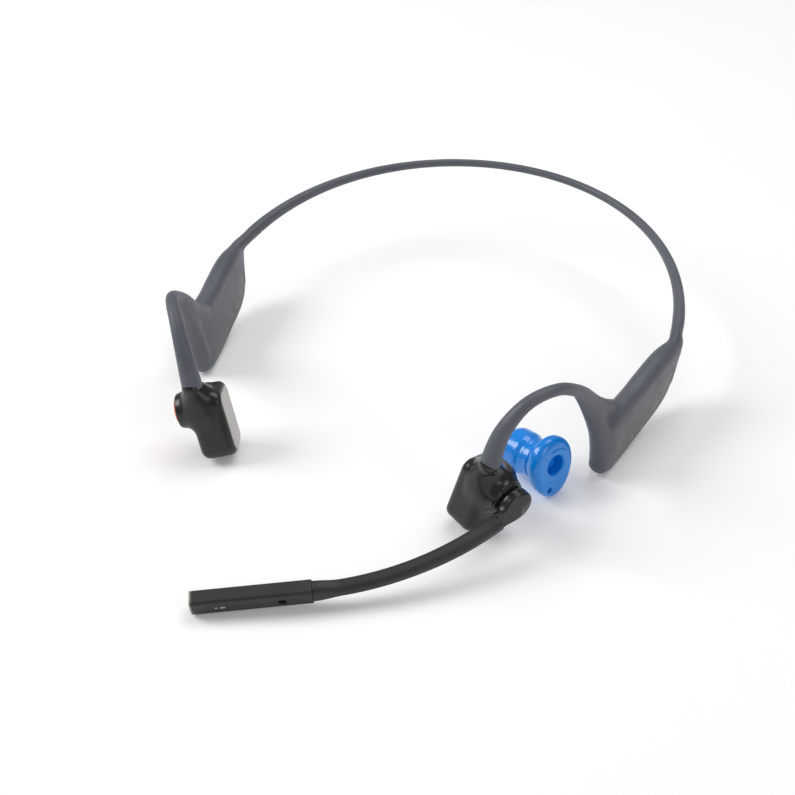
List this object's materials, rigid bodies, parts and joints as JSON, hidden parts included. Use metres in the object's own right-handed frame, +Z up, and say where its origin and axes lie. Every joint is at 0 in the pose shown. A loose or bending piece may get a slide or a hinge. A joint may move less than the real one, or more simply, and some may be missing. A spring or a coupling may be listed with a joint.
{
  "type": "bone conduction headphones",
  "caption": "Behind-the-neck headset with over-ear hooks, cheekbone transducer housings and a swinging microphone boom, with a loose earplug.",
  "frame": {"origin": "on the surface the headset rests on, under the middle of its bounding box", "axes": "+Z up, +Y to the back of the head, +X to the wearer's left, the side with the boom"},
  "size_m": [0.154, 0.2071, 0.0443],
  "materials": {
    "black_gloss": "satin to gloss black",
    "black_plastic": "moulded",
    "blue_silicone": "glossy silicone",
    "boom_rubber": "matte soft-touch",
    "button_rubber": "matte",
    "capsule_plastic": "fine grained",
    "case_plastic": "moulded",
    "cell_pouch": "foil pouch",
    "circuit_board": "solder mask",
    "copper": "wound enamelled wire",
    "filter_plastic": "moulded",
    "gold_contact": "plated",
    "grey_silicone": "matte silicone over wire and case",
    "orange_plastic": "satin",
    "pad_silicone": "satin pale silicone",
    "ring_metal": "satin",
    "small_metal": "tinned",
    "steel": "ground",
    "titanium_wire": "bright drawn wire",
    "washer_plastic": "low friction"
  },
  "bodies": {
    "headset": {"antenna_strip": "small_metal", "audio_chip": "black_plastic", "battery_cell": "cell_pouch", "call_switch": "black_plastic", "cell_guard_board": "circuit_board", "charge_pin_front": "gold_contact", "charge_pin_rear": "gold_contact", "coil_left": "copper", "coil_right": "copper", "friction_washer": "washer_plastic", "hook_skin_left": "grey_silicone", "hook_skin_right": "grey_silicone", "hook_wire_left": "titanium_wire", "hook_wire_right": "titanium_wire", "housing_cover_left": "black_gloss", "housing_cover_right": "black_gloss", "housing_shell_left": "black_gloss", "housing_shell_right": "black_gloss", "magnet_left": "steel", "magnet_right": "steel", "main_board": "circuit_board", "neckband_skin": "grey_silicone", "neckband_wire": "titanium_wire", "pod_lid_left": "case_plastic", "pod_lid_right": "case_plastic", "pod_skin_left": "grey_silicone", "pod_skin_right": "grey_silicone", "pod_tray_left": "case_plastic", "pod_tray_right": "case_plastic", "radio_shield": "small_metal", "skin_pad_left": "pad_silicone", "skin_pad_right": "pad_silicone", "vibration_plate_left": "steel", "vibration_plate_right": "steel", "volume_switch_down": "black_plastic", "volume_switch_up": "black_plastic", "yoke_left": "steel", "yoke_right": "steel"},
    "boom": {"boom_hub": "black_gloss", "boom_axle": "steel", "boom_arm": "boom_rubber", "boom_core_wire": "titanium_wire", "capsule_front": "capsule_plastic", "capsule_rear": "capsule_plastic", "capsule_end_ring": "ring_metal", "mic_board": "circuit_board", "side_mic": "small_metal", "end_mic": "small_metal", "side_mic_mesh": "small_metal"},
    "call_button": {"call_button_disc": "orange_plastic", "call_button_plunger": "black_gloss"},
    "volume_up": {"volume_button_up": "button_rubber"},
    "volume_down": {"volume_button_down": "button_rubber"},
    "earplug": {"earplug_flange": "blue_silicone", "earplug_stem": "blue_silicone", "earplug_tip": "blue_silicone", "earplug_filter": "filter_plastic"}
  },
  "joints": [
    {"name": "boom_swing", "type": "hinge", "parent": "headset", "child": "boom", "pos_m": [0.05076, -0.04375, 0.0141], "axis": [0.888, -0.416, -0.1959], "range_deg": [-95, 40]},
    {"name": "call_press", "type": "slide", "parent": "headset", "child": "call_button", "axis": [0.888, 0.416, 0.1959], "range_m": [0, 0.0004], "stiffness_N_per_m": 900, "springref_m": -0.0004},
    {"name": "volume_up_press", "type": "slide", "parent": "headset", "child": "volume_up", "axis": [0.115, -0.8595, 0.4981], "range_m": [0, 0.00035], "stiffness_N_per_m": 900, "springref_m": -0.0004},
    {"name": "volume_down_press", "type": "slide", "parent": "headset", "child": "volume_down", "axis": [0.115, -0.8595, 0.4981], "range_m": [0, 0.00035], "stiffness_N_per_m": 900, "springref_m": -0.0004},
    {"name": "earplug_lift", "type": "slide", "parent": "headset", "child": "earplug", "axis": [0, 0, 1], "range_m": [0, 0.012]}
  ]
}
